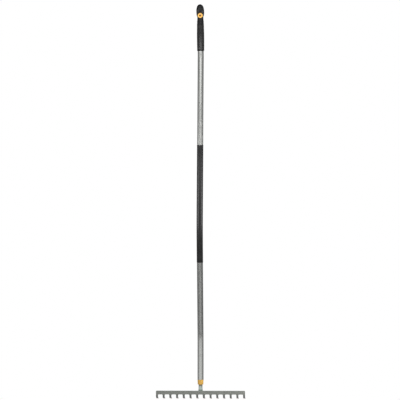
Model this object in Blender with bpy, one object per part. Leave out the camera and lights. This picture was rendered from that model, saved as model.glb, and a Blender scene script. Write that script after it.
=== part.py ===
# Garden rake. A stamped steel head with bent tines is welded to a tang, the tang is held in an
# aluminium tube that is bent in one plane, and the tube carries two grips and an end knob.
#
# Metres, +Z up. The front, which the user looks at, faces -Y and the tines point to +Y.
# The pieces are drawn in a workshop frame, with the tube's lower axis on X = Y = 0 and the tube's
# lower end at Z = 0. The empty that carries them all moves the middle of the hanging hole to the
# world's origin.
import math

import bmesh
import bpy
from mathutils import Matrix, Vector

# Gap between pieces that seat on each other, and the smaller one under the thin middle grip.
CLEARANCE = 0.0003
SKIN_CLEARANCE = 0.0002

# Tube, and its axis from the lower end upwards: straight runs, and bends between them.
# A positive bend leans the tube towards the front.
TUBE_RADIUS = 0.0125
TUBE_WALL = 0.0014
LOWER_RUN = 0.1555
LOWER_BEND = math.radians(9)
LOWER_BEND_RADIUS = 0.300
MIDDLE_RUN = 0.377
MAIN_BEND = math.radians(-16)
MAIN_BEND_RADIUS = 0.450
UPPER_RUN = 0.649
UPPER_BEND = math.radians(18)
UPPER_BEND_RADIUS = 0.110
TOP_RUN = 0.1145

# End knob: a skirt on the tube's end, a flattened neck, and a head that hooks to the front.
SKIRT_RADIUS = 0.0139
SKIRT_HEIGHT = 0.0115
SKIRT_STEP = 0.0006
NECK_RADIUS = 0.01245
NECK_HEIGHT = 0.0310
HEAD_RADIUS = 0.01635
HEAD_RISE = 0.0205
DOME_LENGTH = 0.0355
DOME_POWER = 2.4
HOOK_START = 0.0260
HOOK_BEND = math.radians(24)
HOOK_BEND_RADIUS = 0.062
NECK_FLATNESS = 0.80
HEAD_FLATNESS = 0.86
NECK_SQUARENESS = 3.0
HEAD_SQUARENESS = 2.4
NECK_TAPER = 1.6
SPIGOT_LENGTH = 0.038
SPIGOT_WALL = 0.0030
SPIGOT_CHAMFER = 0.0006

# Hanging hole through the head of the knob, and the two halves of its eyelet.
HOLE_HEIGHT = 0.0395
EYELET_BORE_RADIUS = 0.0052
EYELET_WALL = 0.0012
EYELET_FLANGE_RADIUS = 0.0104
EYELET_FLANGE = 0.0014
EYELET_SEAT = 0.0108
BOSS_RADIUS = 0.0121
BOSS_RISE = 0.0013
BOSS_EDGE = 0.0003

# Top grip, which fills the tube's top run.
TOP_GRIP_LOW_RADIUS = 0.0149
TOP_GRIP_MIDDLE_RADIUS = 0.0153
TOP_GRIP_TOP_RADIUS = 0.0145
TOP_GRIP_SWELL_HEIGHT = 0.055
TOP_GRIP_LIP = 0.0090
TOP_GRIP_GROOVE = 0.0004
TOP_GRIP_EDGE = 0.0012

# Middle grip: how far its lower end is up the tube, and its raised end lips.
MIDDLE_GRIP_START = 0.4965
MIDDLE_GRIP_LENGTH = 0.4925
MIDDLE_GRIP_WALL = 0.0005
MIDDLE_GRIP_LIP = 0.0025
MIDDLE_GRIP_LIP_RISE = 0.0003

# Ferrule collar with its spigot, and the bush above it.
COLLAR_LENGTH = 0.0197
COLLAR_TAPER = 0.0009
COLLAR_EDGE = 0.0010
COLLAR_SEAM = 0.0003
COLLAR_SPIGOT = 0.034
BUSH_HEIGHT = 0.072
BUSH_LENGTH = 0.020
BUSH_GROOVE = 0.0008
BUSH_RIBS = 3

# Tang: a round rod that is forged to a flat palm at its lower end.
TANG_RADIUS = 0.0080
TANG_TOP = 0.098
TANG_CHAMFER = 0.0012
TANG_NECK = 0.0263
TANG_FORGED = 0.0115
PALM_WIDTH = 0.022
PALM_THICKNESS = 0.006
PALM_DEPTH = 0.0140
PALM_SHOULDER = 0.0050
PALM_EDGE = 0.0006
PALM_SQUARENESS = 6.0
PALM_SPREAD = 1.8

# Rivet through the back of the tube into the tang, and the cross pin under the top grip.
RIVET_HEIGHT = 0.018
RIVET_RADIUS = 0.0024
RIVET_HEAD_RADIUS = 0.0046
RIVET_HEAD_RISE = 0.0018
RIVET_END = 0.0020
PIN_DEPTH = 0.020
PIN_RADIUS = 0.0020
PIN_CHAMFER = 0.0004

# Rake head: one plate, with tines bent back from the bar's lower edge.
TINE_COUNT = 14
TINE_PITCH = 0.0281
TINE_ROOT_WIDTH = 0.0084
TINE_TIP_WIDTH = 0.0070
TINE_BEND_RADIUS = 0.0140
TINE_BEND = math.radians(84)
TINE_REACH = 0.044
TINE_TIP_ROUNDING = 0.0024
TINE_TIP_TURN = math.radians(65)
TINE_TIP_THICKNESS = 0.0024
ROOT_FILLET = 0.0040
BAR_HEIGHT = 0.0157
BAR_CORNER = 0.0030
PLATE = 0.0040
PLATE_CHAMFER = 0.0006

# Weld beads beside the palm.
BEAD_LEG = 0.0036
BEAD_INSET = 0.0015
BEAD_RIPPLE = 0.10
BEAD_RIPPLES = 4
BEAD_END = 0.60
BEAD_BULGE = 1.5

# Faces around a round piece, and the largest turn between two rings or rows.
TUBE_SIDES = 24
KNOB_SIDES = 32
SMALL_SIDES = 20
AXIS_STEP = math.radians(3)
FILLET_STEP = math.radians(30)
TINE_STEP = math.radians(14)
TIP_ROWS = 3
CORNER_ROWS = 3
BEAD_FACES = 4
ARC_STEPS = 2
SWELL_RINGS = 7
FORGED_RINGS = 6
NECK_RINGS = 4
SHOULDER_RINGS = 5
DOME_RINGS = 7

TUBE_BORE = TUBE_RADIUS - TUBE_WALL
SPIGOT_RADIUS = TUBE_BORE - CLEARANCE
X_AXIS = Vector((1, 0, 0))
Y_AXIS = Vector((0, 1, 0))
Z_AXIS = Vector((0, 0, 1))


# Scene, materials and objects

def clear_scene():
    for old in list(bpy.data.objects):
        bpy.data.objects.remove(old, do_unlink=True)


def linear(value):
    share = value / 255
    return share / 12.92 if share <= 0.04045 else ((share + 0.055) / 1.055) ** 2.4


def make_material(name, colour, roughness, metallic):
    material = bpy.data.materials.new(name)
    material.use_nodes = True
    shader = material.node_tree.nodes["Principled BSDF"]
    shader.inputs["Base Color"].default_value = (*(linear(value) for value in colour), 1.0)
    shader.inputs["Roughness"].default_value = roughness
    shader.inputs["Metallic"].default_value = metallic
    return material


def add_object(name, shape, material, carrier):
    # Turns a bmesh into an object with outward faces that rides on the carrier.
    bmesh.ops.recalc_face_normals(shape, faces=shape.faces)
    mesh = bpy.data.meshes.new(name)
    shape.to_mesh(mesh)
    shape.free()
    mesh.shade_smooth()
    mesh.set_sharp_from_angle(angle=math.radians(35))
    piece = bpy.data.objects.new(name, mesh)
    bpy.context.scene.collection.objects.link(piece)
    if material is not None:
        mesh.materials.append(material)
    piece.parent = carrier
    return piece


def add_helper(name, shape, carrier):
    # A shape that is cut out of a piece or joined to it.
    helper = add_object(name, shape, None, carrier)
    helper.hide_render = True
    helper.display_type = "WIRE"
    return helper


def combine(piece, other, operation):
    step = piece.modifiers.new(other.name, "BOOLEAN")
    step.operation = operation
    step.solver = "EXACT"
    step.object = other


# Rings and skins

def ease(share):
    # 0 to 1 with level ends.
    share = min(max(share, 0.0), 1.0)
    return share * share * (3 - 2 * share)


def blend(first, last, share):
    return first + (last - first) * share


def ring_points(centre, across, deep, half_width, half_depth, power, sides):
    # One outline in the plane of two unit vectors: an ellipse at power 2, and nearer to a
    # rounded rectangle at higher powers.
    points = []
    for index in range(sides):
        turn = 2 * math.pi * (index + 0.5) / sides
        u = math.copysign(abs(math.cos(turn)) ** (2 / power), math.cos(turn))
        v = math.copysign(abs(math.sin(turn)) ** (2 / power), math.sin(turn))
        points.append(centre + across * (u * half_width) + deep * (v * half_depth))
    return points


def skin(rings, hollow=False):
    # Joins a list of rings. A hollow skin runs up the outside and down the inside and meets
    # itself; any other is capped at both ends.
    shape = bmesh.new()
    rows = [[shape.verts.new(point) for point in ring] for ring in rings]
    pairs = list(zip(rows, rows[1:]))
    if hollow:
        pairs.append((rows[-1], rows[0]))
    for lower, upper in pairs:
        for index in range(len(lower)):
            after = (index + 1) % len(lower)
            shape.faces.new((lower[index], lower[after], upper[after], upper[index]))
    if not hollow:
        shape.faces.new(rows[0])
        shape.faces.new(rows[-1])
    return shape


def turned(profile, sides, hollow=False, frame=None):
    # Revolves (radius, height) pairs about Z, or about the frame's own Z.
    rings = [
        ring_points(Z_AXIS * height, X_AXIS, Y_AXIS, radius, radius, 2, sides)
        for radius, height in profile
    ]
    shape = skin(rings, hollow)
    if frame is not None:
        bmesh.ops.transform(shape, matrix=frame, verts=shape.verts)
    return shape


def arc(radius, height, size, first, last):
    # Profile pairs round part of a circle about (radius, height). The angles are in degrees, with
    # 0 pointing outwards and 90 upwards.
    turns = [math.radians(blend(first, last, step / ARC_STEPS)) for step in range(ARC_STEPS + 1)]
    return [(radius + size * math.cos(turn), height + size * math.sin(turn)) for turn in turns]


def frame_at(origin, z_axis):
    # A frame whose Z runs along a direction square to X, or along X itself.
    side = X_AXIS if abs(z_axis.dot(X_AXIS)) < 0.5 else Y_AXIS
    other = z_axis.cross(side)
    matrix = Matrix((side, other, z_axis)).transposed().to_4x4()
    matrix.translation = origin
    return matrix


# The shaft's axis, from the tube's lower end to the tip of the knob

def axis_runs():
    return [
        (LOWER_RUN, LOWER_BEND, LOWER_BEND_RADIUS),
        (MIDDLE_RUN, MAIN_BEND, MAIN_BEND_RADIUS),
        (UPPER_RUN, UPPER_BEND, UPPER_BEND_RADIUS),
        (TOP_RUN + HOOK_START, HOOK_BEND, HOOK_BEND_RADIUS),
    ]


def along_bend(point, lean, bend, radius, share):
    # The point and the lean after a share of a bend. The axis stays in the YZ plane.
    side = math.copysign(radius, bend)
    after = lean + bend * share
    step = Vector((0, math.cos(after) - math.cos(lean), math.sin(after) - math.sin(lean)))
    return point + step * side, after


def tangent_at(lean):
    return Vector((0, -math.sin(lean), math.cos(lean)))


def backward_at(lean):
    return Vector((0, math.cos(lean), math.sin(lean)))


def axis_at(distance):
    # The point and the lean at a distance along the axis.
    point, lean, left = Vector((0, 0, 0)), 0.0, distance
    for run, bend, radius in axis_runs():
        if left <= run:
            return point + tangent_at(lean) * left, lean
        point = point + tangent_at(lean) * run
        left -= run
        length = abs(bend) * radius
        if left <= length:
            return along_bend(point, lean, bend, radius, left / length)
        point, lean = along_bend(point, lean, bend, radius, 1.0)
        left -= length
    return point + tangent_at(lean) * left, lean


def bend_stations(start, end):
    # Distances between start and end where the bends need a ring.
    stations, reached = [], 0.0
    for run, bend, radius in axis_runs():
        reached += run
        length = abs(bend) * radius
        steps = max(2, math.ceil(abs(bend) / AXIS_STEP))
        stations += [reached + length * step / steps for step in range(steps + 1)]
        reached += length
    return [station for station in stations if start < station < end]


def tube_length():
    bends = sum(abs(bend) * radius for _, bend, radius in axis_runs()[:3])
    return LOWER_RUN + MIDDLE_RUN + UPPER_RUN + TOP_RUN + bends


def axis_ring(distance, radius, sides):
    point, lean = axis_at(distance)
    return ring_points(point, X_AXIS, backward_at(lean), radius, radius, 2, sides)


def sleeve(outside, bore, sides):
    # A hollow piece round the axis. outside lists (distance, radius) pairs going up, and the
    # bends between the first and the last pair get rings of their own.
    start, end = outside[0][0], outside[-1][0]
    between = bend_stations(start, end)
    outer = list(outside)
    for station in between:
        below = max((pair for pair in outside if pair[0] <= station), key=lambda pair: pair[0])
        above = min((pair for pair in outside if pair[0] > station), key=lambda pair: pair[0])
        share = (station - below[0]) / (above[0] - below[0])
        outer.append((station, blend(below[1], above[1], share)))
    outer.sort(key=lambda pair: pair[0])
    inner = [(end, bore)] + [(station, bore) for station in reversed(between)] + [(start, bore)]
    return skin([axis_ring(place, radius, sides) for place, radius in outer + inner], hollow=True)


# Tube, grips and what is inside the tube

def make_tube(material, carrier):
    # A ring above and below each hole keeps the long faces whole.
    places = [0.0, tube_length()]
    for hole, radius in ((RIVET_HEIGHT, RIVET_RADIUS), (tube_length() - PIN_DEPTH, PIN_RADIUS)):
        places += [hole - 2 * radius, hole + 2 * radius]
    outside = [(place, TUBE_RADIUS) for place in sorted(places)]
    return add_object("shaft_tube", sleeve(outside, TUBE_BORE, TUBE_SIDES), material, carrier)


def make_middle_grip(material, carrier):
    bore = TUBE_RADIUS + SKIN_CLEARANCE
    radius = bore + MIDDLE_GRIP_WALL
    raised = radius + MIDDLE_GRIP_LIP_RISE
    start, end = MIDDLE_GRIP_START, MIDDLE_GRIP_START + MIDDLE_GRIP_LENGTH
    edge = MIDDLE_GRIP_LIP_RISE
    outside = [
        (start, radius),
        (start + edge, raised),
        (start + MIDDLE_GRIP_LIP, raised),
        (start + MIDDLE_GRIP_LIP + edge, radius),
        (end - MIDDLE_GRIP_LIP - edge, radius),
        (end - MIDDLE_GRIP_LIP, raised),
        (end - edge, raised),
        (end, radius),
    ]
    return add_object("middle_grip", sleeve(outside, bore, TUBE_SIDES), material, carrier)


def top_grip_radius(height):
    # Fullest at the swell, and a little less at both ends.
    if height < TOP_GRIP_SWELL_HEIGHT:
        share = ease(height / TOP_GRIP_SWELL_HEIGHT)
        return blend(TOP_GRIP_LOW_RADIUS, TOP_GRIP_MIDDLE_RADIUS, share)
    share = ease((height - TOP_GRIP_SWELL_HEIGHT) / (TOP_RUN - TOP_GRIP_SWELL_HEIGHT))
    return blend(TOP_GRIP_MIDDLE_RADIUS, TOP_GRIP_TOP_RADIUS, share)


def make_top_grip(material, carrier):
    edge, groove = TOP_GRIP_EDGE, TOP_GRIP_GROOVE
    low, top = TOP_GRIP_LOW_RADIUS, TOP_GRIP_TOP_RADIUS
    profile = arc(low - edge, edge, edge, -90, 0) + [
        (low, TOP_GRIP_LIP - groove),
        (low - groove, TOP_GRIP_LIP),
        (low, TOP_GRIP_LIP + groove),
    ]
    for index in range(1, SWELL_RINGS + 1):
        height = blend(TOP_GRIP_LIP, TOP_RUN - edge, index / (SWELL_RINGS + 1))
        profile.append((top_grip_radius(height), height))
    profile += arc(top - edge / 2, TOP_RUN - edge / 2, edge / 2, 0, 90)
    start = tube_length() - TOP_RUN
    outside = [(start + height, radius) for radius, height in profile]
    shape = sleeve(outside, TUBE_RADIUS + CLEARANCE, KNOB_SIDES)
    return add_object("top_grip", shape, material, carrier)


def make_collar(material, carrier):
    low = -CLEARANCE - COLLAR_LENGTH
    bore = TANG_RADIUS + CLEARANCE
    foot = TUBE_RADIUS - COLLAR_TAPER - COLLAR_EDGE
    profile = arc(foot, low + COLLAR_EDGE, COLLAR_EDGE, -90, 0)
    profile += arc(TUBE_RADIUS - COLLAR_SEAM, -CLEARANCE - COLLAR_SEAM, COLLAR_SEAM, 0, 90)
    profile += [
        (SPIGOT_RADIUS, -CLEARANCE),
        (SPIGOT_RADIUS, COLLAR_SPIGOT - SPIGOT_CHAMFER),
        (SPIGOT_RADIUS - SPIGOT_CHAMFER, COLLAR_SPIGOT),
        (bore, COLLAR_SPIGOT),
        (bore, low + SPIGOT_CHAMFER),
        (bore + SPIGOT_CHAMFER, low),
    ]
    shape = turned(profile, TUBE_SIDES, hollow=True)
    return add_object("ferrule_collar", shape, material, carrier)


def make_bush(material, carrier):
    # A spacer ring with ribs round the tang's upper end.
    bore = TANG_RADIUS + CLEARANCE
    floor = SPIGOT_RADIUS - BUSH_GROOVE
    rib = BUSH_LENGTH / (2 * BUSH_RIBS - 1)
    profile = []
    for index in range(BUSH_RIBS):
        low = BUSH_HEIGHT + 2 * index * rib
        profile += [(SPIGOT_RADIUS, low), (SPIGOT_RADIUS, low + rib)]
        if index < BUSH_RIBS - 1:
            profile += [(floor, low + rib), (floor, low + 2 * rib)]
    profile += [(bore, BUSH_HEIGHT + BUSH_LENGTH), (bore, BUSH_HEIGHT)]
    return add_object("tang_bush", turned(profile, SMALL_SIDES, hollow=True), material, carrier)


# Tang, rivet and welds

def bar_top():
    return -CLEARANCE - COLLAR_LENGTH - TANG_NECK


def make_tang(material, carrier):
    # The forging is flat by the bar's top edge, and goes on widening behind the bar.
    forged_start = bar_top() + TANG_FORGED
    flat_height = bar_top() + CLEARANCE
    wide_height = bar_top() - PALM_SHOULDER
    levels = [
        (TANG_TOP, TANG_RADIUS - TANG_CHAMFER, TANG_RADIUS - TANG_CHAMFER, 2),
        (TANG_TOP - TANG_CHAMFER, TANG_RADIUS, TANG_RADIUS, 2),
    ]
    for step in range(FORGED_RINGS + 2):
        height = blend(forged_start, flat_height, step / FORGED_RINGS)
        if step > FORGED_RINGS:
            height = wide_height
        flat = (forged_start - height) / (forged_start - flat_height)
        wide = (forged_start - height) / (forged_start - wide_height)
        levels.append((
            height,
            blend(TANG_RADIUS, PALM_WIDTH / 2, wide ** PALM_SPREAD),
            blend(TANG_RADIUS, PALM_THICKNESS / 2, ease(flat)),
            blend(2, PALM_SQUARENESS, ease(flat)),
        ))
    foot = bar_top() - PALM_DEPTH
    levels.append((foot + PALM_EDGE, PALM_WIDTH / 2, PALM_THICKNESS / 2, PALM_SQUARENESS))
    levels.append((foot, PALM_WIDTH / 2 - PALM_EDGE, PALM_THICKNESS / 2 - PALM_EDGE, PALM_SQUARENESS))
    rings = [
        ring_points(Z_AXIS * height, X_AXIS, Y_AXIS, width, depth, power, SMALL_SIDES)
        for height, width, depth, power in reversed(levels)
    ]
    return add_object("head_tang", skin(rings), material, carrier)


def make_rivet(material, carrier):
    # Driven from the back. Its heights are measured from the tang's axis.
    seat = TUBE_RADIUS + CLEARANCE
    profile = [
        (RIVET_RADIUS - PIN_CHAMFER, -RIVET_END),
        (RIVET_RADIUS, -RIVET_END + PIN_CHAMFER),
        (RIVET_RADIUS, seat),
        (RIVET_HEAD_RADIUS, seat),
    ]
    for radius, height in arc(0, 0, 1, 0, 80)[1:]:
        profile.append((RIVET_HEAD_RADIUS * radius, seat + RIVET_HEAD_RISE * height))
    frame = frame_at(Z_AXIS * RIVET_HEIGHT, Y_AXIS)
    return add_object("tang_rivet", turned(profile, SMALL_SIDES, frame=frame), material, carrier)


def make_rivet_cutter(carrier):
    radius = RIVET_RADIUS + CLEARANCE
    profile = [(radius, -RIVET_END - CLEARANCE), (radius, 2 * TUBE_RADIUS)]
    frame = frame_at(Z_AXIS * RIVET_HEIGHT, Y_AXIS)
    return add_helper("rivet hole", turned(profile, SMALL_SIDES, frame=frame), carrier)


def make_bead(name, side, material, carrier):
    # A fillet weld in the corner between the palm's edge and the back of the bar, with ripples.
    corner_x = PALM_WIDTH / 2 + CLEARANCE
    corner_y = -PALM_THICKNESS / 2
    low = bar_top() - PALM_DEPTH + BEAD_INSET
    high = bar_top() - BEAD_INSET
    steps = 2 * BEAD_RIPPLES
    rings = []
    for index in range(steps + 1):
        leg = BEAD_LEG * (1 - BEAD_RIPPLE * (index % 2))
        if index in (0, steps):
            leg = BEAD_LEG * BEAD_END
        height = blend(low, high, index / steps)
        ring = [Vector((side * corner_x, corner_y, height))]
        for step in range(BEAD_FACES + 1):
            turn = math.pi / 2 * step / BEAD_FACES
            u = math.cos(turn) ** (2 / BEAD_BULGE)
            v = math.sin(turn) ** (2 / BEAD_BULGE)
            ring.append(Vector((side * (corner_x + u * leg), corner_y + v * leg, height)))
        rings.append(ring)
    return add_object(name, skin(rings), material, carrier)


# Rake head

def bar_plane():
    # The middle of the plate, in front of the palm.
    return -PALM_THICKNESS / 2 - CLEARANCE - PLATE / 2


def plate_point(x, length):
    # A point on the middle of the plate, at a length down from the bar's top edge.
    bent = length - BAR_HEIGHT
    y, z = bar_plane(), bar_top() - min(length, BAR_HEIGHT)
    if bent > 0:
        turn = min(bent / TINE_BEND_RADIUS, TINE_BEND)
        straight = bent - turn * TINE_BEND_RADIUS
        y += TINE_BEND_RADIUS * (1 - math.cos(turn)) + straight * math.sin(turn)
        z -= TINE_BEND_RADIUS * math.sin(turn) + straight * math.cos(turn)
    return Vector((x, y, z))


def tine_rows():
    # (length, half width, fillet on each inner side, share of the plate's thickness) down a tine.
    bend_end = BAR_HEIGHT + TINE_BEND * TINE_BEND_RADIUS
    tip = bend_end + TINE_REACH
    tip_start = tip - TINE_TIP_ROUNDING

    def half_width(length):
        share = (length - BAR_HEIGHT) / (tip - BAR_HEIGHT)
        return blend(TINE_ROOT_WIDTH, TINE_TIP_WIDTH, share) / 2

    def thickness(length):
        return blend(1.0, TINE_TIP_THICKNESS / PLATE, (length - bend_end) / TINE_REACH)

    rows = [(BAR_HEIGHT, TINE_ROOT_WIDTH / 2, ROOT_FILLET, 1.0)]
    fillet_steps = round(math.pi / 2 / FILLET_STEP)
    for step in range(1, fillet_steps + 1):
        turn = math.pi / 2 * step / fillet_steps
        length = BAR_HEIGHT + ROOT_FILLET * (1 - math.cos(turn))
        rows.append((length, half_width(length), ROOT_FILLET * (1 - math.sin(turn)), 1.0))
    bend_steps = math.ceil((bend_end - BAR_HEIGHT - ROOT_FILLET) / TINE_BEND_RADIUS / TINE_STEP)
    for step in range(1, bend_steps + 1):
        length = blend(BAR_HEIGHT + ROOT_FILLET, bend_end, step / bend_steps)
        rows.append((length, half_width(length), 0.0, 1.0))
    for step in range(TIP_ROWS):
        turn = TINE_TIP_TURN * step / (TIP_ROWS - 1)
        length = tip_start + TINE_TIP_ROUNDING * math.sin(turn)
        rows.append((length, half_width(length) * math.cos(turn), 0.0, thickness(length)))
    return rows


def make_head(material, carrier):
    shape = bmesh.new()
    plate_share = shape.verts.layers.deform.verify()
    bar_rows = [
        (0.0, TINE_ROOT_WIDTH / 2, ROOT_FILLET, 1.0),
        (BAR_HEIGHT - PLATE_CHAMFER * 2, TINE_ROOT_WIDTH / 2, ROOT_FILLET, 1.0),
    ]
    corners = []
    last_right = None
    for index in range(TINE_COUNT):
        x = (index - (TINE_COUNT - 1) / 2) * TINE_PITCH
        has_left, has_right = index > 0, index < TINE_COUNT - 1
        rows = []
        for length, half, fillet, share in bar_rows + tine_rows():
            row = []
            for offset in (-half - fillet * has_left, 0.0, half + fillet * has_right):
                vertex = shape.verts.new(plate_point(x + offset, length))
                vertex[plate_share][0] = share
                row.append(vertex)
            rows.append(row)
        for upper, lower in zip(rows, rows[1:]):
            for column in (0, 1):
                shape.faces.new((upper[column], lower[column], lower[column + 1], upper[column + 1]))
        in_bar = rows[:len(bar_rows) + 1]
        if last_right:
            left_side = [row[0] for row in in_bar]
            for place in range(len(bar_rows)):
                shape.faces.new((
                    last_right[place], last_right[place + 1], left_side[place + 1], left_side[place]
                ))
        last_right = [row[2] for row in in_bar]
        if not has_left:
            corners.append(rows[0][0])
        if not has_right:
            corners.append(rows[0][2])
    bmesh.ops.bevel(
        shape, geom=corners, offset=BAR_CORNER, segments=CORNER_ROWS, profile=0.5, affect="VERTICES"
    )
    head = add_object("rake_head", shape, material, carrier)
    head.vertex_groups.new(name="plate share")
    solid = head.modifiers.new("plate", "SOLIDIFY")
    solid.thickness = PLATE
    solid.offset = 0.0
    solid.use_even_offset = True
    solid.vertex_group = "plate share"
    edges = head.modifiers.new("edges", "BEVEL")
    edges.limit_method = "ANGLE"
    edges.angle_limit = math.radians(50)
    edges.width = PLATE_CHAMFER
    edges.segments = 1
    return head


# End knob, its pin and its eyelet

def knob_levels():
    # (height above the tube's end, half width, half depth, power) up the knob.
    spigot_bore = SPIGOT_RADIUS - SPIGOT_WALL
    seat = CLEARANCE
    levels = [
        (-SPIGOT_WALL, spigot_bore, spigot_bore, 2),
        (-SPIGOT_LENGTH, spigot_bore, spigot_bore, 2),
        (-SPIGOT_LENGTH, SPIGOT_RADIUS - SPIGOT_CHAMFER, SPIGOT_RADIUS - SPIGOT_CHAMFER, 2),
        (-SPIGOT_LENGTH + SPIGOT_CHAMFER, SPIGOT_RADIUS, SPIGOT_RADIUS, 2),
        (seat, SPIGOT_RADIUS, SPIGOT_RADIUS, 2),
        (seat, SKIRT_RADIUS - SKIRT_STEP, SKIRT_RADIUS - SKIRT_STEP, 2),
        (seat + SKIRT_STEP, SKIRT_RADIUS, SKIRT_RADIUS, 2),
        (SKIRT_HEIGHT, SKIRT_RADIUS, SKIRT_RADIUS, 2),
    ]
    for index in range(NECK_RINGS + 1):
        share = index / NECK_RINGS
        height = blend(SKIRT_HEIGHT + SKIRT_STEP, NECK_HEIGHT, share)
        radius = blend(SKIRT_RADIUS - SKIRT_STEP, NECK_RADIUS, 1 - (1 - share) ** NECK_TAPER)
        flat = blend(1.0, NECK_FLATNESS, ease(share))
        levels.append((height, radius, radius * flat, blend(2.0, NECK_SQUARENESS, ease(share))))
    for index in range(1, SHOULDER_RINGS + 1):
        turn = math.pi / 2 * index / SHOULDER_RINGS
        height = NECK_HEIGHT + HEAD_RISE * (1 - math.cos(turn))
        radius = blend(NECK_RADIUS, HEAD_RADIUS, math.sin(turn))
        flat = blend(NECK_FLATNESS, HEAD_FLATNESS, math.sin(turn))
        power = blend(NECK_SQUARENESS, HEAD_SQUARENESS, index / SHOULDER_RINGS)
        levels.append((height, radius, radius * flat, power))
    for index in range(1, DOME_RINGS):
        turn = math.pi / 2 * index / DOME_RINGS
        height = NECK_HEIGHT + HEAD_RISE + DOME_LENGTH * math.sin(turn) ** (2 / DOME_POWER)
        radius = HEAD_RADIUS * math.cos(turn) ** (2 / DOME_POWER)
        power = blend(HEAD_SQUARENESS, 2, index / DOME_RINGS)
        levels.append((height, radius, radius * HEAD_FLATNESS, power))
    tip = NECK_HEIGHT + HEAD_RISE + DOME_LENGTH
    last = HEAD_RADIUS / 8
    levels.append((tip, last, last * HEAD_FLATNESS, 2))
    return levels


def make_knob(material, carrier):
    rings = []
    for height, width, depth, power in knob_levels():
        point, lean = axis_at(tube_length() + height)
        rings.append(ring_points(point, X_AXIS, backward_at(lean), width, depth, power, KNOB_SIDES))
    return add_object("end_knob", skin(rings), material, carrier)


def hole_frame(side):
    # At the middle of the hanging hole, with Z out of its back (side 1) or front (side -1).
    point, lean = axis_at(tube_length() + HOLE_HEIGHT)
    return frame_at(point, backward_at(lean) * side)


def make_boss(carrier):
    # The raised ring round the hole, on the front and on the back of the knob.
    face = EYELET_SEAT + BOSS_RISE
    profile = [
        (BOSS_RADIUS - BOSS_EDGE, -face),
        (BOSS_RADIUS, -face + BOSS_EDGE),
        (BOSS_RADIUS, face - BOSS_EDGE),
        (BOSS_RADIUS - BOSS_EDGE, face),
    ]
    return add_helper("eyelet boss", turned(profile, KNOB_SIDES, frame=hole_frame(1)), carrier)


def make_eyelet_cutter(carrier):
    # Above the flange's face it opens out at 45 degrees, which dishes the head round the eyelet.
    radius = EYELET_BORE_RADIUS + EYELET_WALL + CLEARANCE
    flange = EYELET_FLANGE_RADIUS + CLEARANCE
    face = EYELET_SEAT + CLEARANCE + EYELET_FLANGE
    outside = 2 * HEAD_RADIUS
    half = [
        (radius, EYELET_SEAT),
        (flange, EYELET_SEAT),
        (flange, face),
        (flange + outside - face, outside),
    ]
    profile = [(width, -height) for width, height in reversed(half)] + half
    return add_helper("eyelet hole", turned(profile, KNOB_SIDES, frame=hole_frame(1)), carrier)


def make_eyelet_half(name, side, material, carrier):
    # A tube from the middle of the hole outwards, with a flange that has a rounded rim and mouth.
    low = CLEARANCE / 2
    seat = EYELET_SEAT + CLEARANCE
    face = seat + EYELET_FLANGE
    tube = EYELET_BORE_RADIUS + EYELET_WALL
    rounding = EYELET_FLANGE / 2
    profile = [(tube, low), (tube, seat), (EYELET_FLANGE_RADIUS, seat)]
    profile += arc(EYELET_FLANGE_RADIUS - rounding, face - rounding, rounding, 0, 90)
    profile += arc(EYELET_BORE_RADIUS + rounding, face - rounding, rounding, 90, 180)
    profile.append((EYELET_BORE_RADIUS, low))
    shape = turned(profile, KNOB_SIDES, hollow=True, frame=hole_frame(side))
    return add_object(name, shape, material, carrier)


def pin_frame():
    return frame_at(axis_at(tube_length() - PIN_DEPTH)[0], X_AXIS)


def make_pin(material, carrier):
    half = TUBE_RADIUS - CLEARANCE
    profile = [
        (PIN_RADIUS - PIN_CHAMFER, -half),
        (PIN_RADIUS, -half + PIN_CHAMFER),
        (PIN_RADIUS, half - PIN_CHAMFER),
        (PIN_RADIUS - PIN_CHAMFER, half),
    ]
    return add_object("knob_pin", turned(profile, SMALL_SIDES, frame=pin_frame()), material, carrier)


def make_pin_cutter(carrier):
    radius = PIN_RADIUS + CLEARANCE
    profile = [(radius, -2 * TUBE_RADIUS), (radius, 2 * TUBE_RADIUS)]
    return add_helper("pin hole", turned(profile, SMALL_SIDES, frame=pin_frame()), carrier)


def main():
    clear_scene()
    carrier = bpy.data.objects.new("hanging_point", None)
    bpy.context.scene.collection.objects.link(carrier)
    carrier.location = -hole_frame(1).translation

    grey_steel = make_material("lacquered steel", (132, 132, 129), 0.45, 0.35)
    zinc = make_material("zinc plate", (172, 184, 178), 0.35, 0.9)
    aluminium = make_material("satin aluminium", (184, 185, 181), 0.35, 0.9)
    orange = make_material("orange plastic", (232, 150, 46), 0.45, 0.0)
    gloss_black = make_material("gloss black plastic", (26, 26, 27), 0.25, 0.0)
    soft_black = make_material("soft black grip", (52, 52, 53), 0.6, 0.0)
    sleeve_black = make_material("black sleeve", (42, 42, 41), 0.5, 0.0)
    inner_plastic = make_material("inner plastic", (60, 60, 62), 0.6, 0.0)

    tube = make_tube(aluminium, carrier)
    make_middle_grip(sleeve_black, carrier)
    make_top_grip(soft_black, carrier)
    collar = make_collar(orange, carrier)
    make_bush(inner_plastic, carrier)
    tang = make_tang(zinc, carrier)
    make_rivet(zinc, carrier)
    rivet_hole = make_rivet_cutter(carrier)
    for piece in (tube, collar, tang):
        combine(piece, rivet_hole, "DIFFERENCE")

    make_head(grey_steel, carrier)
    make_bead("tang_weld_left", -1, zinc, carrier)
    make_bead("tang_weld_right", 1, zinc, carrier)

    knob = make_knob(gloss_black, carrier)
    combine(knob, make_boss(carrier), "UNION")
    combine(knob, make_eyelet_cutter(carrier), "DIFFERENCE")
    make_eyelet_half("eyelet_front", -1, orange, carrier)
    make_eyelet_half("eyelet_back", 1, orange, carrier)
    make_pin(zinc, carrier)
    pin_hole = make_pin_cutter(carrier)
    for piece in (tube, knob):
        combine(piece, pin_hole, "DIFFERENCE")


main()
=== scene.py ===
import math

import bmesh
import bpy
from mathutils import Matrix, Vector


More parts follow.
